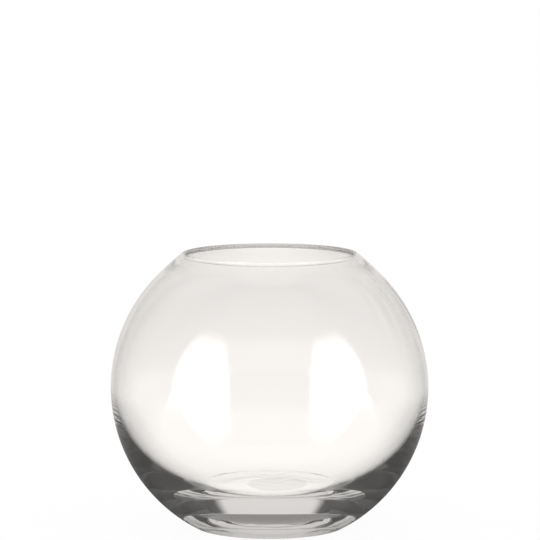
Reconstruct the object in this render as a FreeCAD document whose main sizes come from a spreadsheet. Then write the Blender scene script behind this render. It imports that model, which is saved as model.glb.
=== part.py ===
import FreeCAD, Part
import math
import os
import Sketcher

# A rose bowl: one piece of clear glass, blown as a ball, thick at the bottom, cut open at the top
# and melted round at the rim. The section is drawn once and turned about the upright axis.
# The origin is the centre of the resting face, +Z is up, and sizes are in millimetres.

SIZES = {
    # outside
    "ball_radius": 75.0,        # outer face of the belly
    "foot_radius": 35.4,        # where the ball would meet the table, before the edge is melted
    "heel_radius": 1.5,         # melted edge between the ball and the resting ring
    "punt_radius": 24.4,        # shallow hollow under the bowl, which leaves a resting ring
    "punt_depth": 0.4,
    # top
    "rim_radius": 40.65,        # circle along the crest of the rim
    "rim_thickness": 2.9,       # melted round, so also the rim's diameter across
    "shoulder_run": 13.3,       # from the rim's crest out to where the ball begins
    "shoulder_radius": 150.0,   # nearly straight slope between the ball and the rim
    # inside
    "wall_thickness": 2.0,      # at the belly
    "floor_thickness": 11.8,    # from the table to the flat floor inside
    "floor_radius": 24.1,       # edge of the flat floor
    "toe_radius": 22.9,         # turn from the floor up into the slope
}

NODE = "glass_bowl"
SHEET = "Sizes"

# a sketch numbers a shape's first point, last point and centre upwards from one, and its own flat
# and upright axes downwards from minus one
START, END, CENTRE = range(1, 4)
FLAT_AXIS, UPRIGHT_AXIS = range(-1, -3, -1)
ORIGIN_POINT = (FLAT_AXIS, START)


def size_sheet(doc):
    """Spreadsheet with one named cell for each driving size."""
    sheet = doc.addObject("Spreadsheet::Sheet", SHEET)
    for row, (name, value) in enumerate(SIZES.items(), start=1):
        sheet.set(f"A{row}", name)
        sheet.set(f"B{row}", str(value))
        sheet.setAlias(f"B{row}", name)
    doc.recompute()
    return sheet


def spot(centre, radius, angle):
    """Point on a circle, in the sheet's plane."""
    return (centre[0] + radius * math.cos(angle), centre[1] + radius * math.sin(angle))


def heading(start, end):
    """Angle of the line from one point to another."""
    return math.atan2(end[1] - start[1], end[0] - start[0])


def line(start, end):
    return Part.LineSegment(FreeCAD.Vector(*start, 0), FreeCAD.Vector(*end, 0))


def arc(centre, radius, first, last):
    """Arc drawn anticlockwise from the first angle to the last."""
    circle = Part.Circle(FreeCAD.Vector(*centre, 0), FreeCAD.Vector(0, 0, 1), radius)
    return Part.ArcOfCircle(circle, first, last)


def outside_arcs(sizes):
    """Heel, ball, shoulder and rim, each tangent to the next, from the table upwards."""
    ball, heel = sizes["ball_radius"], sizes["heel_radius"]
    shoulder, bead = sizes["shoulder_radius"], sizes["rim_thickness"] / 2
    middle = (0, math.sqrt(ball**2 - sizes["foot_radius"] ** 2))

    heel_spot = (math.sqrt((ball - heel) ** 2 - (middle[1] - heel) ** 2), heel)
    heel_top = heading(middle, heel_spot)

    ball_top = math.acos((sizes["rim_radius"] + sizes["shoulder_run"]) / ball)
    shoulder_spot = spot(middle, ball - shoulder, ball_top)
    rim_top = math.acos((sizes["rim_radius"] - shoulder_spot[0]) / (shoulder - bead))
    rim_spot = spot(shoulder_spot, shoulder - bead, rim_top)

    return {
        "middle": middle,
        "ball_top": ball_top,
        "rim_spot": rim_spot,
        "heel": (heel_spot, heel, -math.pi / 2, heel_top),
        "ball": (middle, ball, heel_top, ball_top),
        "shoulder": (shoulder_spot, shoulder, ball_top, rim_top),
    }


def inside_arcs(sizes, outside):
    """Shoulder, flank, knuckle and toe of the hollow, each tangent to the next, from the rim down."""
    middle, ball_top, rim_spot = outside["middle"], outside["ball_top"], outside["rim_spot"]
    bead = sizes["rim_thickness"] / 2
    flank = sizes["ball_radius"] - sizes["wall_thickness"]
    toe = sizes["toe_radius"]

    # the arc that leaves the flank on the ball's own ray and touches the rim's bead from inside
    reach = (rim_spot[0] - middle[0], rim_spot[1] - middle[1])
    along = reach[0] * math.cos(ball_top) + reach[1] * math.sin(ball_top)
    square = reach[0] ** 2 + reach[1] ** 2
    shoulder = (square - 2 * flank * along + flank**2 - bead**2) / (2 * (flank + bead - along))
    shoulder_spot = spot(middle, flank - shoulder, ball_top)
    rim_angle = heading(shoulder_spot, rim_spot)

    # the knuckle leaves the flank where the ball is widest and holds the toe's circle
    toe_spot = (sizes["floor_radius"], sizes["floor_thickness"] + toe)
    run, drop = flank - toe_spot[0], middle[1] - toe_spot[1]
    knuckle = (run**2 + drop**2 - toe**2) / (2 * (run - toe))
    knuckle_spot = (flank - knuckle, middle[1])
    toe_top = heading(knuckle_spot, toe_spot)

    return {
        "rim_angle": rim_angle,
        "shoulder": (shoulder_spot, shoulder, ball_top, rim_angle),
        "flank": (middle, flank, 0, ball_top),
        "knuckle": (knuckle_spot, knuckle, toe_top, 0),
        "toe": (toe_spot, toe, -math.pi / 2, toe_top),
    }


def punt_arc(sizes):
    """Shallow arc under the bowl, highest on the axis."""
    width, depth = sizes["punt_radius"], sizes["punt_depth"]
    radius = (width**2 + depth**2) / (2 * depth)
    centre = (0, depth - radius)
    return (centre, radius, heading(centre, (width, 0)), math.pi / 2)


def draw_section(sketch, sizes):
    """Add the closed section of the glass and return the number of each line and arc by name."""
    outside = outside_arcs(sizes)
    inside = inside_arcs(sizes, outside)
    rim = (
        outside["rim_spot"],
        sizes["rim_thickness"] / 2,
        outside["shoulder"][3],
        inside["rim_angle"] + math.pi,
    )
    floor = sizes["floor_thickness"]
    shapes = {
        "ring": line((sizes["punt_radius"], 0), (outside["heel"][0][0], 0)),
        "heel": arc(*outside["heel"]),
        "ball": arc(*outside["ball"]),
        "shoulder": arc(*outside["shoulder"]),
        "rim": arc(*rim),
        "inner_shoulder": arc(*inside["shoulder"]),
        "flank": arc(*inside["flank"]),
        "knuckle": arc(*inside["knuckle"]),
        "toe": arc(*inside["toe"]),
        "floor": line((0, floor), (sizes["floor_radius"], floor)),
        "axis": line((0, floor), (0, sizes["punt_depth"])),
        "punt": arc(*punt_arc(sizes)),
    }
    return {name: sketch.addGeometry(shape, False) for name, shape in shapes.items()}


def join_section(sketch, part):
    """Tie the ends together: smooth between arcs, and square to the axis at the two middles."""
    smooth = [
        ("ring", END, "heel", START),
        ("heel", END, "ball", START),
        ("ball", END, "shoulder", START),
        ("shoulder", END, "rim", START),
        ("rim", END, "inner_shoulder", END),
        ("inner_shoulder", START, "flank", END),
        ("flank", START, "knuckle", END),
        ("knuckle", START, "toe", END),
        ("toe", START, "floor", END),
    ]
    for first, first_end, second, second_end in smooth:
        sketch.addConstraint(
            Sketcher.Constraint("Tangent", part[first], first_end, part[second], second_end)
        )
    corners = [("floor", START, "axis", START), ("axis", END, "punt", END), ("punt", START, "ring", START)]
    for first, first_end, second, second_end in corners:
        sketch.addConstraint(
            Sketcher.Constraint("Coincident", part[first], first_end, part[second], second_end)
        )
    on_axis = [("axis", START), ("axis", END), ("ball", CENTRE), ("punt", CENTRE)]
    for name, point in on_axis:
        sketch.addConstraint(Sketcher.Constraint("PointOnObject", part[name], point, UPRIGHT_AXIS))
    for point in (START, END):
        sketch.addConstraint(Sketcher.Constraint("PointOnObject", part["ring"], point, FLAT_AXIS))
    sketch.addConstraint(Sketcher.Constraint("Coincident", part["flank"], CENTRE, part["ball"], CENTRE))
    sketch.addConstraint(Sketcher.Constraint("Horizontal", part["flank"], START, part["ball"], CENTRE))
    sketch.addConstraint(Sketcher.Constraint("Horizontal", part["floor"]))


def bind(sketch, name, constraint, formula):
    """Add a driving constraint under a name and bind its value to a formula of the sheet's sizes."""
    index = sketch.addConstraint(constraint)
    sketch.renameConstraint(index, name)
    sketch.setExpression(f"Constraints.{name}", formula)


def size_section(sketch, part, sizes):
    """Bind every radius and place in the section to the sheet."""
    radii = {
        "ball": "{0}.ball_radius",
        "heel": "{0}.heel_radius",
        "shoulder": "{0}.shoulder_radius",
        "rim": "{0}.rim_thickness / 2",
        "flank": "{0}.ball_radius - {0}.wall_thickness",
        "toe": "{0}.toe_radius",
    }
    for name, formula in radii.items():
        radius = sketch.Geometry[part[name]].Radius
        constraint = Sketcher.Constraint("Radius", part[name], radius)
        bind(sketch, f"{name}_arc", constraint, formula.format(SHEET))

    ball_edge = "({0}.rim_radius + {0}.shoulder_run)"
    places = {
        "middle_up": ("DistanceY", "ball", CENTRE, "sqrt({0}.ball_radius ^ 2 - {0}.foot_radius ^ 2)"),
        "shoulder_out": ("DistanceX", "ball", END, ball_edge),
        "rim_out": ("DistanceX", "rim", CENTRE, "{0}.rim_radius"),
        "inner_shoulder_out": (
            "DistanceX",
            "flank",
            END,
            ball_edge + " * ({0}.ball_radius - {0}.wall_thickness) / {0}.ball_radius",
        ),
        "floor_up": ("DistanceY", "floor", START, "{0}.floor_thickness"),
        "floor_out": ("DistanceX", "floor", END, "{0}.floor_radius"),
        "punt_up": ("DistanceY", "punt", END, "{0}.punt_depth"),
        "punt_out": ("DistanceX", "punt", START, "{0}.punt_radius"),
    }
    for name, (kind, shape, point, formula) in places.items():
        where = sketch.getPoint(part[shape], point)
        value = where.x if kind == "DistanceX" else where.y
        constraint = Sketcher.Constraint(kind, *ORIGIN_POINT, part[shape], point, value)
        bind(sketch, name, constraint, formula.format(SHEET))


def origin_feature(body, role):
    return next(item for item in body.Origin.OriginFeatures if item.Role == role)


def glass_bowl(doc, sizes):
    """The whole bowl: its section turned a full circle about the upright axis."""
    body = doc.addObject("PartDesign::Body", "GlassBowl")
    body.Label = NODE
    section = body.newObject("Sketcher::SketchObject", "Section")
    section.AttachmentSupport = (origin_feature(body, "XZ_Plane"), [""])
    section.MapMode = "FlatFace"
    part = draw_section(section, sizes)
    join_section(section, part)
    size_section(section, part, sizes)
    doc.recompute()

    turned = body.newObject("PartDesign::Revolution", "BlownGlass")
    turned.Profile = section
    turned.ReferenceAxis = (section, ["V_Axis"])
    turned.Angle = 360.0
    section.Visibility = False
    body.Placement = FreeCAD.Placement()
    doc.recompute()
    return body


def check(doc, bodies):
    """Stop before anything is written if an object failed or a solid isn't sound."""
    for item in doc.Objects:
        if "Invalid" in item.State or "Error" in item.State:
            raise RuntimeError(f"{item.Name} failed: {item.State}")
    for body in bodies:
        shape = body.Shape
        if shape.isNull() or not shape.isValid() or len(shape.Solids) != 1:
            raise RuntimeError(f"{body.Label} is not one sound solid")


def report(body):
    box = body.Shape.BoundBox
    section = next(item for item in body.Group if item.Name == "Section")
    print(
        f"{body.Label}: {box.XLength:.2f} x {box.YLength:.2f} x {box.ZLength:.2f} mm,"
        f" {body.Shape.Volume / 1000:.1f} ml of glass, section fully tied: {section.FullyConstrained}"
    )


def main():
    doc = FreeCAD.newDocument("RoseBowl")
    size_sheet(doc)
    bodies = [glass_bowl(doc, SIZES)]
    check(doc, bodies)
    os.makedirs("parts", exist_ok=True)
    for body in bodies:
        report(body)
        body.Shape.exportStep(f"parts/{body.Label}.step")


main()
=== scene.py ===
import math

import bpy
import numpy as np
from mathutils import Euler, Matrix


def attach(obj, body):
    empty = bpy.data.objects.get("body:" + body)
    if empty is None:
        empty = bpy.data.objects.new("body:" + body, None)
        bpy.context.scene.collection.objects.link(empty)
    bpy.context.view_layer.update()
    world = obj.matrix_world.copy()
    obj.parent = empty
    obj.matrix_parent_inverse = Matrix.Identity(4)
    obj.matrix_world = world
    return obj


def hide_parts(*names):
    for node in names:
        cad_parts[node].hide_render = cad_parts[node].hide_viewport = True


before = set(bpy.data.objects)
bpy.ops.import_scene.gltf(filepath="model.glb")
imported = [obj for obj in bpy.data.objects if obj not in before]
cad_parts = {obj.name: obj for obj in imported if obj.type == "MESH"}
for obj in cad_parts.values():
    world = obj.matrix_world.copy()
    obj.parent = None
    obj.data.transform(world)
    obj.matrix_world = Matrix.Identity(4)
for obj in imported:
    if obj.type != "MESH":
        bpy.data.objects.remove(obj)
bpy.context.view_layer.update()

# Sizes of the glass, the same as the CAD's. The ball is a hair under its 75 mm, so that the mesh
# stays inside the box of the CAD's facets.
BALL = 0.07498
FOOT = 0.0354
HEEL = 0.0015
PUNT_RADIUS = 0.0244
PUNT_DEPTH = 0.0004
RIM_TOP = 0.130
RIM_RADIUS = 0.04065
RIM_THICKNESS = 0.0029
SHOULDER_RUN = 0.0133
SHOULDER = 0.150
WALL = 0.0020
FLOOR_THICKNESS = 0.0118
FLOOR_RADIUS = 0.0241
TOE = 0.0229

# Places that several arcs share: the ball's middle, the rim bead's radius, the inner ball's
# radius, and the angle at which the shoulder leaves the ball
MIDDLE = (0, math.sqrt(BALL**2 - FOOT**2))
BEAD = RIM_THICKNESS / 2
FLANK = BALL - WALL
BALL_TOP = math.acos((RIM_RADIUS + SHOULDER_RUN) / BALL)
UPRIGHT = math.pi / 2
DOWN = -math.pi / 2

# Points along each part of the section, closer together where it is uneven, and round the bowl
PUNT_POINTS, RESTING_POINTS, HEEL_POINTS = 30, 14, 8
BALL_POINTS, SHOULDER_POINTS, BEAD_POINTS = 48, 8, 18
NECK_POINTS, INNER_SHOULDER_POINTS, FLANK_POINTS = 22, 12, 20
KNUCKLE_POINTS, TOE_POINTS, FLOOR_POINTS = 28, 14, 6
NECK_SHARE = 0.25
ROUND = 400

# Groove inside under the rim's bead: its depth is an even part, one for the two sides and one for
# three lobes
NECK_DROP = 0.0029
NECK_WIDTH = 0.0010
NECK_DEPTH = 0.0005
NECK_EVEN, NECK_SIDES, NECK_LOBES = 0.50, 0.40, 0.10

# Waves down the right shoulder inside
WAVE_DEPTH = 0.00005
WAVES_ROUND = 40
WAVE_MIDDLE = -0.35
WAVE_SPREAD = 0.45
WAVE_LOW, WAVE_LOW_FADE = 0.085, 0.02
WAVE_HIGH, WAVE_HIGH_FADE = 0.122, 0.008

# Ripples in the underside: two wandering trains of waves, one along x and one along y, in radians
# per metre. WANDER is how far they are shifted to and fro, in radians.
RIPPLE_DEPTH = 0.00005
RIPPLE_ALONG_X, RIPPLE_ALONG_Y = 420, 640
WANDER_ALONG_Y, WANDER_ALONG_X = 260, 310
WANDER, WANDER_START = 2, 1
UNDERSIDE, UNDERSIDE_FADE = 0.0006, 0.0002
FOOT_FADE = 0.002


def on_circle(centre, radius, angle):
    """Point on a circle in the section, as (distance from the axis, height)."""
    return (centre[0] + radius * math.cos(angle), centre[1] + radius * math.sin(angle))


def heading(start, end):
    """Angle of the line from one point of the section to another."""
    return math.atan2(end[1] - start[1], end[0] - start[0])


def arc(centre, radius, first, last, count):
    """Points at even angles round a circle from the first angle up to, but without, the last."""
    angle = np.linspace(first, last, count, endpoint=False)
    return np.stack([centre[0] + radius * np.cos(angle), centre[1] + radius * np.sin(angle)], 1)


def straight(start, end, count):
    """Points at even steps from start up to, but without, end."""
    share = np.linspace(0, 1, count, endpoint=False)[:, None]
    return np.array(start) * (1 - share) + np.array(end) * share


def under_the_bowl():
    """The hollow's arc from the axis, the flat resting ring and the round heel, which touches the
    ball from inside. The second result is the angle at which the heel runs into the ball."""
    bend = (PUNT_RADIUS**2 + PUNT_DEPTH**2) / (2 * PUNT_DEPTH)
    punt = (0, PUNT_DEPTH - bend)
    heel = (math.sqrt((BALL - HEEL) ** 2 - (MIDDLE[1] - HEEL) ** 2), HEEL)
    ball_foot = heading(MIDDLE, heel)
    points = np.concatenate([
        arc(punt, bend, UPRIGHT, heading(punt, (PUNT_RADIUS, 0)), PUNT_POINTS),
        straight((PUNT_RADIUS, 0), (heel[0], 0), RESTING_POINTS),
        arc(heel, HEEL, DOWN, ball_foot, HEEL_POINTS),
    ])
    return points, ball_foot


def inner_shoulder(rim):
    """Centre, radius and top angle of the arc inside the shoulder. It leaves the inner ball at the
    same angle as the shoulder leaves the ball, and runs smoothly into the rim's bead."""
    reach = (rim[0] - MIDDLE[0], rim[1] - MIDDLE[1])
    along = reach[0] * math.cos(BALL_TOP) + reach[1] * math.sin(BALL_TOP)
    square = reach[0] ** 2 + reach[1] ** 2
    bend = (square - 2 * FLANK * along + FLANK**2 - BEAD**2) / (2 * (FLANK + BEAD - along))
    centre = on_circle(MIDDLE, FLANK - bend, BALL_TOP)
    return centre, bend, heading(centre, rim)


def inside_bottom():
    """The knuckle's arc, which leaves the inner ball upright at its widest place, the toe's arc,
    which touches it and the floor, and the flat floor in to the axis."""
    toe = (FLOOR_RADIUS, FLOOR_THICKNESS + TOE)
    run, drop = FLANK - toe[0], MIDDLE[1] - toe[1]
    bend = (run**2 + drop**2 - TOE**2) / (2 * (run - TOE))
    knuckle = (FLANK - bend, MIDDLE[1])
    toe_top = heading(knuckle, toe)
    return np.concatenate([
        arc(knuckle, bend, 0, toe_top, KNUCKLE_POINTS),
        arc(toe, TOE, toe_top, DOWN, TOE_POINTS),
        straight((FLOOR_RADIUS, FLOOR_THICKNESS), (0, FLOOR_THICKNESS), FLOOR_POINTS),
        [(0, FLOOR_THICKNESS)],
    ])


def glass_section():
    """Closed outline of the glass from the axis under the bowl, out, up, over the rim and down
    inside to the axis again. Its arcs and two straight lines run smoothly into each other, but
    for the edge of the hollow under the foot."""
    under, ball_foot = under_the_bowl()
    shoulder = on_circle(MIDDLE, BALL - SHOULDER, BALL_TOP)
    rim_top = math.acos((RIM_RADIUS - shoulder[0]) / (SHOULDER - BEAD))
    rim = on_circle(shoulder, SHOULDER - BEAD, rim_top)
    inner, inner_bend, inner_top = inner_shoulder(rim)
    below_neck = (1 - NECK_SHARE) * inner_top + NECK_SHARE * BALL_TOP
    return np.concatenate([
        under,
        arc(MIDDLE, BALL, ball_foot, BALL_TOP, BALL_POINTS),
        arc(shoulder, SHOULDER, BALL_TOP, rim_top, SHOULDER_POINTS),
        arc(rim, BEAD, rim_top, inner_top + math.pi, BEAD_POINTS),
        arc(inner, inner_bend, inner_top, below_neck, NECK_POINTS),
        arc(inner, inner_bend, below_neck, BALL_TOP, INNER_SHOULDER_POINTS),
        arc(MIDDLE, FLANK, BALL_TOP, 0, FLANK_POINTS),
        inside_bottom(),
    ])


def fade(past, width):
    """0 up to the start, 1 from a width past it on, and even between."""
    return np.clip(past / width, 0, 1)


def rim_groove(up, angle):
    """Bell curve of the height under the rim, times a depth that changes with the angle."""
    below = (RIM_TOP - up - NECK_DROP) / NECK_WIDTH
    round_about = NECK_EVEN + NECK_SIDES * np.cos(angle) ** 2 + NECK_LOBES * np.sin(3 * angle)
    return NECK_DEPTH * np.exp(-below**2) * round_about


def shoulder_waves(up, angle):
    """Sine of the angle, which fades out to both sides of its middle, and up and down."""
    turn = (angle - WAVE_MIDDLE + math.pi) % (2 * math.pi) - math.pi
    window = np.exp(-(turn / WAVE_SPREAD) ** 4)
    high = fade(up - WAVE_LOW, WAVE_LOW_FADE) * fade(WAVE_HIGH - up, WAVE_HIGH_FADE)
    return WAVE_DEPTH * np.sin(WAVES_ROUND * angle) * window * high


def underside_ripples(out, up, angle):
    """Two sines, along x and y, each shifted to and fro by a slower sine across it. They lift the
    underside by nothing up to the ripple's depth, and fade out before the heel."""
    x, y = out * np.cos(angle), out * np.sin(angle)
    along_x = np.sin(RIPPLE_ALONG_X * x + WANDER * np.sin(WANDER_ALONG_Y * y))
    along_y = np.sin(RIPPLE_ALONG_Y * y + WANDER * np.sin(WANDER_ALONG_X * x + WANDER_START))
    under = fade(UNDERSIDE - up, UNDERSIDE_FADE) * fade(FOOT - HEEL - out, FOOT_FADE)
    return under * RIPPLE_DEPTH * (2 + along_x + along_y) / 4


def turned(name, outline, count):
    """Closed surface of turning: the point of the outline at (r, z) goes to (r cos a, r sin a, z)
    at even angles a round the axis. The outline starts and ends on the axis, in one point each.
    The glass's small unevenness is added to r on the inside, and to z on the underside."""
    angle = np.linspace(0, 2 * math.pi, count, endpoint=False)
    ring = outline[1:-1]
    out, up = ring[:, :1], ring[:, 1:]
    inside = (np.arange(len(ring)) > np.argmax(ring[:, 1]))[:, None]
    radius = out + inside * (rim_groove(up, angle) + shoulder_waves(up, angle))
    grid = np.empty((len(ring), count, 3))
    grid[..., 0] = radius * np.cos(angle)
    grid[..., 1] = radius * np.sin(angle)
    grid[..., 2] = up + underside_ripples(out, up, angle)
    first, last = (0, 0, outline[0, 1]), (0, 0, outline[-1, 1])
    points = np.concatenate([grid.reshape(-1, 3), [first, last]])

    row, column = np.meshgrid(np.arange(len(ring) - 1), np.arange(count), indexing="ij")
    after = (column + 1) % count
    corners = [row * count + column, row * count + after]
    corners += [(row + 1) * count + after, (row + 1) * count + column]
    quads = np.stack(corners, -1).reshape(-1, 4)
    here, beside = np.arange(count), (np.arange(count) + 1) % count
    start, end = len(points) - 2, len(points) - 1
    top = (len(ring) - 1) * count
    near_fan = np.stack([np.full(count, start), beside, here], 1)
    far_fan = np.stack([np.full(count, end), top + here, top + beside], 1)

    mesh = bpy.data.meshes.new(name)
    mesh.from_pydata(points.tolist(), [], quads.tolist() + near_fan.tolist() + far_fan.tolist())
    mesh.polygons.foreach_set("use_smooth", np.ones(len(mesh.polygons), bool))
    mesh.update()
    piece = bpy.data.objects.new(name, mesh)
    bpy.context.scene.collection.objects.link(piece)
    return piece


class Value:
    """A socket of a node tree, with Python's signs standing for Math nodes."""

    def __init__(self, shader, socket):
        self.shader, self.socket = shader, socket

    def math(self, operation, *others):
        """A Math node of that operation on this value and the others."""
        return self.shader.add("ShaderNodeMath", {"operation": operation}, [self, *others])

    def __add__(self, other):
        return self.math("ADD", other)

    def __sub__(self, other):
        return self.math("SUBTRACT", other)

    def __rsub__(self, other):
        return self.shader.add("ShaderNodeMath", {"operation": "SUBTRACT"}, [other, self])

    def __mul__(self, other):
        return self.math("MULTIPLY", other)

    def __truediv__(self, other):
        return self.math("DIVIDE", other)

    def __abs__(self):
        return self.math("ABSOLUTE")

    __radd__ = __add__
    __rmul__ = __mul__

    def step(self, low, high):
        """0 at low and 1 at high, smooth between and level beyond. Low may be the greater."""
        inputs = {"Value": self, "From Min": low, "From Max": high, "To Min": 0, "To Max": 1}
        if low > high:
            inputs.update({"From Min": high, "From Max": low, "To Min": 1, "To Max": 0})
        return self.shader.add("ShaderNodeMapRange", {"interpolation_type": "SMOOTHSTEP"}, inputs)


class Shader:
    """Node tree of a material or of the world."""

    def __init__(self, owner):
        owner.use_nodes = True
        self.tree = owner.node_tree
        self.tree.nodes.clear()

    def node(self, kind, settings=None, inputs=None):
        """A node of that type: its settings first, then a value or a link for each input."""
        node = self.tree.nodes.new(kind)
        for name, value in (settings or {}).items():
            setattr(node, name, value)
        pairs = inputs.items() if isinstance(inputs, dict) else enumerate(inputs or [])
        for name, value in pairs:
            if isinstance(value, Value):
                self.tree.links.new(value.socket, node.inputs[name])
            else:
                node.inputs[name].default_value = value
        return node

    def add(self, kind, settings=None, inputs=None, output=0):
        """The output of a new node, as a value."""
        return Value(self, self.node(kind, settings, inputs).outputs[output])

    def split(self, vector):
        """The x, y and z of a vector."""
        parts = self.node("ShaderNodeSeparateXYZ", None, [vector])
        return [Value(self, socket) for socket in parts.outputs]

    def mix(self, share, first, second):
        """The first colour, turning into the second as the share goes from 0 to 1. 6, 7 and 2 are
        the places of a Mix node's colours among its sockets."""
        inputs = {"Factor": share, 6: first, 7: second}
        return self.add("ShaderNodeMix", {"data_type": "RGBA"}, inputs, 2)

    def light(self, color, level):
        """A colour times a level of light."""
        return self.add("ShaderNodeVectorMath", {"operation": "SCALE"}, {0: color, "Scale": level})


def blend(first, second, share):
    """The first value, turning into the second as the share goes from 0 to 1."""
    return first + (second - first) * share


# The glass: clear, with painted shade that makes it grey where it is seen edge on, and a grey round
# patch near the underside, a little off the axis
GLASS_INDEX = 1.5
CLEAR = (0.985, 0.985, 0.985, 1)
# Painted shade: the grey that the glass turns where it is seen edge on, for the dark room around it
EDGE_PAINTED_SHADE = (0.70, 0.71, 0.70, 1)
EDGE_ON = (0.35, 1.0)
# Grey round patch near the underside, a little off the axis: its middle, colour, edge and stretch
GREY_PATCH_MIDDLE = (0.004, 0, 0)
GREY_PATCH_COLOR = (0.72, 0.71, 0.70, 1)
GREY_PATCH_EDGE = (0.0163, 0.0139)
GREY_PATCH_STRETCH = (1, 1, 4)


def clear_glass():
    """Clear soda glass, fully see-through and smooth, with painted shade where it is seen edge on.
    The grey patch is where the distance from its middle is small. Heights count fourfold in it,
    which keeps it off the floor above."""
    material = bpy.data.materials.new("clear_glass")
    shader = Shader(material)
    facing = shader.add("ShaderNodeLayerWeight", None, {"Blend": 0.5}, "Facing")
    # Painted shade: grey where the glass is seen edge on, standing in for the dark room seen
    # through its edges
    color_with_painted_shade = shader.mix(facing.step(*EDGE_ON), CLEAR, EDGE_PAINTED_SHADE)
    # Grey round patch near the underside, where the stretched distance from its middle is small
    place = shader.add("ShaderNodeTexCoord", None, None, "Object")
    tall = shader.add("ShaderNodeVectorMath", {"operation": "MULTIPLY"}, [place, GREY_PATCH_STRETCH])
    away = shader.add("ShaderNodeVectorMath", {"operation": "DISTANCE"}, [tall, GREY_PATCH_MIDDLE], "Value")
    color_with_painted_shade = shader.mix(away.step(*GREY_PATCH_EDGE), color_with_painted_shade, GREY_PATCH_COLOR)
    surface = shader.add(
        "ShaderNodeBsdfPrincipled",
        None,
        {"Base Color": color_with_painted_shade, "Roughness": 0.0, "IOR": GLASS_INDEX, "Transmission Weight": 1.0},
    )
    shader.node("ShaderNodeOutputMaterial", None, {"Surface": surface})
    return material


# Studio light. Its levels are parts of white, and a pair is the range over which a level changes.
WHITE = (1, 1, 1, 1)
WARM = (1, 0.966, 0.935, 1)

# The count of mirrorings, between 0 and 1 and between 1 and 2
MIRRORED, MIRRORED_AGAIN = (0.4, 0.6), (1.4, 1.6)

# The horizon in front and what it gains behind the bowl, by the angle from straight behind
HORIZON_LOW, HORIZON_GAIN, BEHIND = 0.43, 0.42, (1.8, 0.9)

# The tall lights: their angle from straight behind, half width, height, level and soft edge
LIGHT_SIDE, LIGHT_HALF_WIDTH, LIGHT_HEIGHT = 2.22, 0.37, 0.63
LIGHT_LEVEL, LIGHT_EDGE = 3.0, (1.5, 0.6)

# The surroundings, by the angle above level. WINDOW_SIDE is an angle from straight ahead or behind.
BACKDROP, BACKDROP_LOSS, BACKDROP_HIGH = 0.95, 0.5, (0.12, 0.45)
ROOM, ROOM_HIGH = 0.12, (0.35, -0.05)
DARK_ROOM, WINDOW_GAIN = 0.05, 0.67
WINDOW_SIDE, WINDOW_HIGH = (0.48, 0.36), (0.7, 1.0)

# The table, by the distance from the bowl's axis, by y for its two halves, and by the sideways
# share of the distance for STRAIGHT_BEHIND and AHEAD
TABLE_HALF, TABLE_DROP = 3.0, 0.0001
MATT_SHARE = 0.04
TABLE_WHITE, TABLE_LOSS, TABLE_FAR = 1.1, 0.15, (0.2, 1.2)
UNDER_GAIN, UNDER_BOWL = 0.12, (0.036, 0.033)
FRONT_HALF = (0.02, -0.10)
STRAIGHT_BEHIND, BACK_HALF = (0.30, 0.15), (-0.01, 0.02)
SIDE_SHADE, SIDE_REACH = 0.08, (0.5, 0.07)
FRONT_SHADE, FRONT_GAIN, FRONT_NEAR = 0.25, 0.75, (0.03, 0.09)
FRONT_REACH = (1.0, 0.12)
FOOT_SHADE, FOOT_REACH = 0.25, (0.040, 0.033)
TABLE_DARK, AHEAD_GAIN, AHEAD = 0.06, 0.42, (0.46, 0.35)


def horizon(side):
    """Brightness at level height, as mirrored in the glass, at an angle from straight behind."""
    return HORIZON_LOW + HORIZON_GAIN * side.step(*BEHIND)


def tall_lights(side, up):
    """Brightness of the two tall soft lights at an angle from straight behind and a height above
    level: full where the fourth power of the share across plus the square of the share upwards
    is small, so that they are round at the top."""
    across = (side - LIGHT_SIDE) / LIGHT_HALF_WIDTH
    raised = up / LIGHT_HEIGHT
    return LIGHT_LEVEL * (across * across * across * across + raised * raised).step(*LIGHT_EDGE)


def by_mirrorings(count, never, once, often):
    """Brightness of a ray that the glass mirrored never, once or more often. The count is a whole
    number, so it is never within the two steps."""
    one, more = count.step(*MIRRORED), count.step(*MIRRORED_AGAIN)
    return (1 - one) * never + (one - more) * once + more * often


def table_light(shader):
    """Colour times brightness of the table: plain white for the camera, warm for all other rays.
    Straight through, it is a little over white, more so under the bowl and less so far off.
    Mirrored once, it is dark near the bowl's sides, brighter in front and straight behind, and
    grey under the bowl. Mirrored more often, it is dark but for what is in line with the bowl."""
    path = shader.node("ShaderNodeLightPath")
    place = shader.add("ShaderNodeTexCoord", None, None, "Object")
    out = shader.add("ShaderNodeVectorMath", {"operation": "LENGTH"}, [place], "Value")
    x, y, z = shader.split(place)
    through = TABLE_WHITE - TABLE_LOSS * out.step(*TABLE_FAR) + UNDER_GAIN * out.step(*UNDER_BOWL)

    side = abs(x.math("ARCTAN2", y))
    level = horizon(side) + tall_lights(side, z)
    beside = blend(level, SIDE_SHADE, out.step(*SIDE_REACH))
    near = FRONT_SHADE + FRONT_GAIN * out.step(*FRONT_NEAR)
    before = blend(level, near, out.step(*FRONT_REACH))
    in_line = (abs(x) / out).step(*STRAIGHT_BEHIND) * y.step(*BACK_HALF)
    around = blend(beside, before, y.step(*FRONT_HALF).math("MAXIMUM", in_line))
    once = blend(around, FOOT_SHADE, out.step(*FOOT_REACH))

    often = TABLE_DARK + AHEAD_GAIN * (abs(x) / out).step(*AHEAD)
    camera = Value(shader, path.outputs["Is Camera Ray"])
    seen = by_mirrorings(Value(shader, path.outputs["Glossy Depth"]), through, once, often)
    color = shader.mix(camera, WARM, WHITE)
    return shader.light(color, camera + (1 - camera) * seen)


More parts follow.
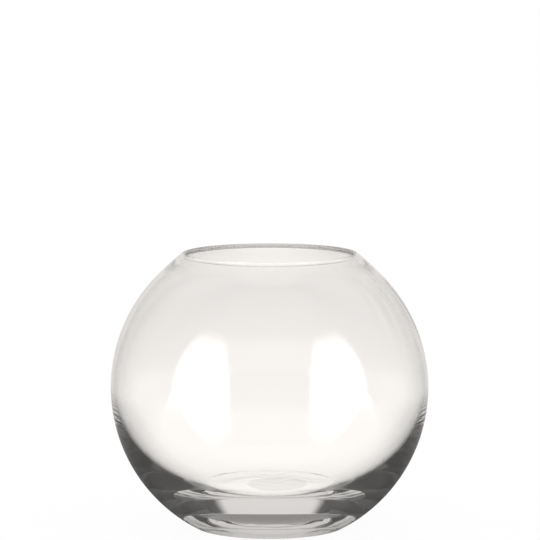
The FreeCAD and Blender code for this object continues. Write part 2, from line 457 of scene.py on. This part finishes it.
def white_table():
    """Plain square table, a hair under the foot. The camera sees it white, with the bowl's faint
    shadow in its small matt share. The glass sees it as table_light says."""
    corners = [(-1, -1), (1, -1), (1, 1), (-1, 1)]
    mesh = bpy.data.meshes.new("table")
    points = [(TABLE_HALF * x, TABLE_HALF * y, -TABLE_DROP) for x, y in corners]
    mesh.from_pydata(points, [], [(0, 1, 2, 3)])
    table = bpy.data.objects.new("table", mesh)
    bpy.context.scene.collection.objects.link(table)
    material = bpy.data.materials.new("white_table")
    shader = Shader(material)
    glow = shader.add("ShaderNodeEmission", None, {"Color": table_light(shader), "Strength": 1.0})
    matt = shader.add("ShaderNodeBsdfDiffuse", None, {"Color": WHITE})
    surface = shader.add("ShaderNodeMixShader", None, {0: MATT_SHARE, 1: glow, 2: matt})
    shader.node("ShaderNodeOutputMaterial", None, {"Surface": surface})
    mesh.materials.append(material)


def studio():
    """White surroundings for the camera and for matt things. Straight through the glass they are
    nearly white and darker high up. Mirrored once, they are a dark room, lighter at the horizon
    and behind the bowl, with two tall soft lights. Mirrored more often, they are dark but for
    windows before, behind and above."""
    world = bpy.data.worlds.new("studio")
    bpy.context.scene.world = world
    shader = Shader(world)
    path = shader.node("ShaderNodeLightPath")
    glossy = Value(shader, path.outputs["Is Glossy Ray"])
    in_glass = glossy.math("MAXIMUM", Value(shader, path.outputs["Is Transmission Ray"]))

    x, y, z = shader.split(shader.add("ShaderNodeTexCoord", None, None, "Generated"))
    up = z.math("ARCSINE")
    side = abs(x.math("ARCTAN2", y))
    through = BACKDROP - BACKDROP_LOSS * up.step(*BACKDROP_HIGH)
    lit = side.step(*BEHIND).math("MAXIMUM", up.step(*ROOM_HIGH))
    once = ROOM + (horizon(side) - ROOM) * lit + tall_lights(side, up.math("MAXIMUM", 0))
    in_line = side.math("MINIMUM", math.pi - side).step(*WINDOW_SIDE)
    often = DARK_ROOM + WINDOW_GAIN * in_line.math("MAXIMUM", up.step(*WINDOW_HIGH))
    seen = by_mirrorings(Value(shader, path.outputs["Glossy Depth"]), through, once, often)
    light = shader.light(shader.mix(in_glass, WHITE, WARM), (1 - in_glass) + in_glass * seen)
    surface = shader.add("ShaderNodeBackground", None, {"Color": light, "Strength": 1.0})
    shader.node("ShaderNodeOutputWorld", None, {"Surface": surface})


# The camera. Its lens and sensor are in millimetres.
LENS, SENSOR = 240, 36
CAMERA_PLACE = (0.0002, -1.6832, 0.3186)
CAMERA_DIP = math.radians(6.67)
NEAREST, FARTHEST = 0.1, 50


def camera():
    """The photograph's view: a long lens, a little above the rim."""
    data = bpy.data.cameras.new("camera")
    data.lens, data.sensor_width = LENS, SENSOR
    data.clip_start, data.clip_end = NEAREST, FARTHEST
    item = bpy.data.objects.new("camera", data)
    item.location = CAMERA_PLACE
    item.rotation_euler = Euler((math.pi / 2 - CAMERA_DIP, 0, 0))
    bpy.context.scene.collection.objects.link(item)
    bpy.context.scene.camera = item


bowl = turned("glass_bowl_blown", glass_section(), ROUND)
bowl.data.materials.append(clear_glass())
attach(bowl, "root")
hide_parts("glass_bowl")

white_table()
studio()
camera()

# Light in the thick base is mirrored many times before it leaves the glass
BOUNCES = 96
scene = bpy.context.scene
scene.view_settings.view_transform = "Standard"
scene.cycles.use_denoising = True
scene.cycles.max_bounces = BOUNCES
scene.cycles.transmission_bounces = BOUNCES
scene.cycles.glossy_bounces = BOUNCES
